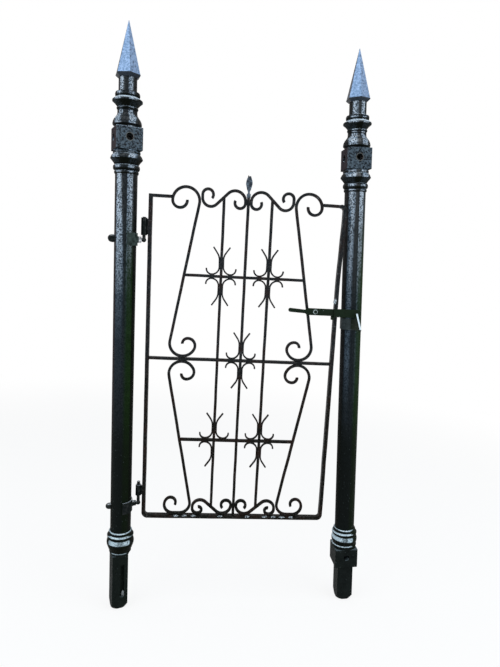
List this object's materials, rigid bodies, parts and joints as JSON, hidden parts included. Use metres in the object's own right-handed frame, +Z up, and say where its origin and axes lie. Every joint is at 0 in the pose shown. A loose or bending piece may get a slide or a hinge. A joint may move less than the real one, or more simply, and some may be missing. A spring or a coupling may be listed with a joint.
{
  "type": "antique garden gate",
  "caption": "Wrought-iron scrollwork garden gate hung on pintle hinges between two turned cast-iron posts, with a lift latch and a catch.",
  "frame": {"origin": "flat foot of the hinge post, on the axis of its shaft", "axes": "+X towards the latch post, +Y to the back of the gate, +Z up"},
  "size_m": [1.0154, 0.1757, 2.1559],
  "materials": {
    "cast_posts": "worn dark paint over rough cast iron, greenish low down",
    "hinge_iron": "dark weathered iron",
    "bright_nut": "bright worn steel",
    "gate_paint": "old black paint with brown rust showing through",
    "latch_paint": "dull olive grey paint, rubbed at the edges"
  },
  "bodies": {
    "posts": {"left_post": "cast_posts", "left_finial": "cast_posts", "right_post": "cast_posts", "right_finial": "cast_posts", "upper_saddle": "hinge_iron", "upper_pintle": "hinge_iron", "upper_dome_nut": "hinge_iron", "upper_hex_nut": "bright_nut", "lower_saddle": "hinge_iron", "lower_pintle": "hinge_iron", "lower_dome_nut": "hinge_iron", "lower_hex_nut": "hinge_iron", "keep_band": "latch_paint", "keep_catch": "latch_paint", "keep_screws": "latch_paint"},
    "gate": {"hinge_stile": "gate_paint", "bottom_rail": "gate_paint", "latch_stile": "gate_paint", "top_left_stub": "gate_paint", "top_right_stub": "gate_paint", "centre_bar": "gate_paint", "left_inner_bar": "gate_paint", "right_inner_bar": "gate_paint", "upper_crossbar": "gate_paint", "middle_crossbar": "gate_paint", "lower_crossbar": "gate_paint", "upper_left_scroll": "gate_paint", "upper_right_scroll": "gate_paint", "lower_left_scroll": "gate_paint", "lower_right_scroll": "gate_paint", "top_left_scroll": "gate_paint", "top_right_scroll": "gate_paint", "bottom_left_scroll": "gate_paint", "bottom_right_scroll": "gate_paint", "upper_crosses": "gate_paint", "middle_cross": "gate_paint", "lower_crosses": "gate_paint", "spear_collar": "gate_paint", "spear_blade": "gate_paint", "upper_barrel": "gate_paint", "lower_barrel": "gate_paint", "latch_base_plate": "latch_paint", "latch_rivet": "latch_paint"},
    "latch": {"latch_lever": "latch_paint", "latch_tongue": "latch_paint"}
  },
  "joints": [
    {"name": "gate_swing", "type": "hinge", "parent": "posts", "child": "gate", "pos_m": [0.06312, 0.0193, 1], "axis": [0, 0, -1], "range_deg": [0, 80]},
    {"name": "latch_lift", "type": "hinge", "parent": "gate", "child": "latch", "pos_m": [0.70461, 0.003, 1.1965], "axis": [0, -1, 0], "range_deg": [0, 12]}
  ]
}
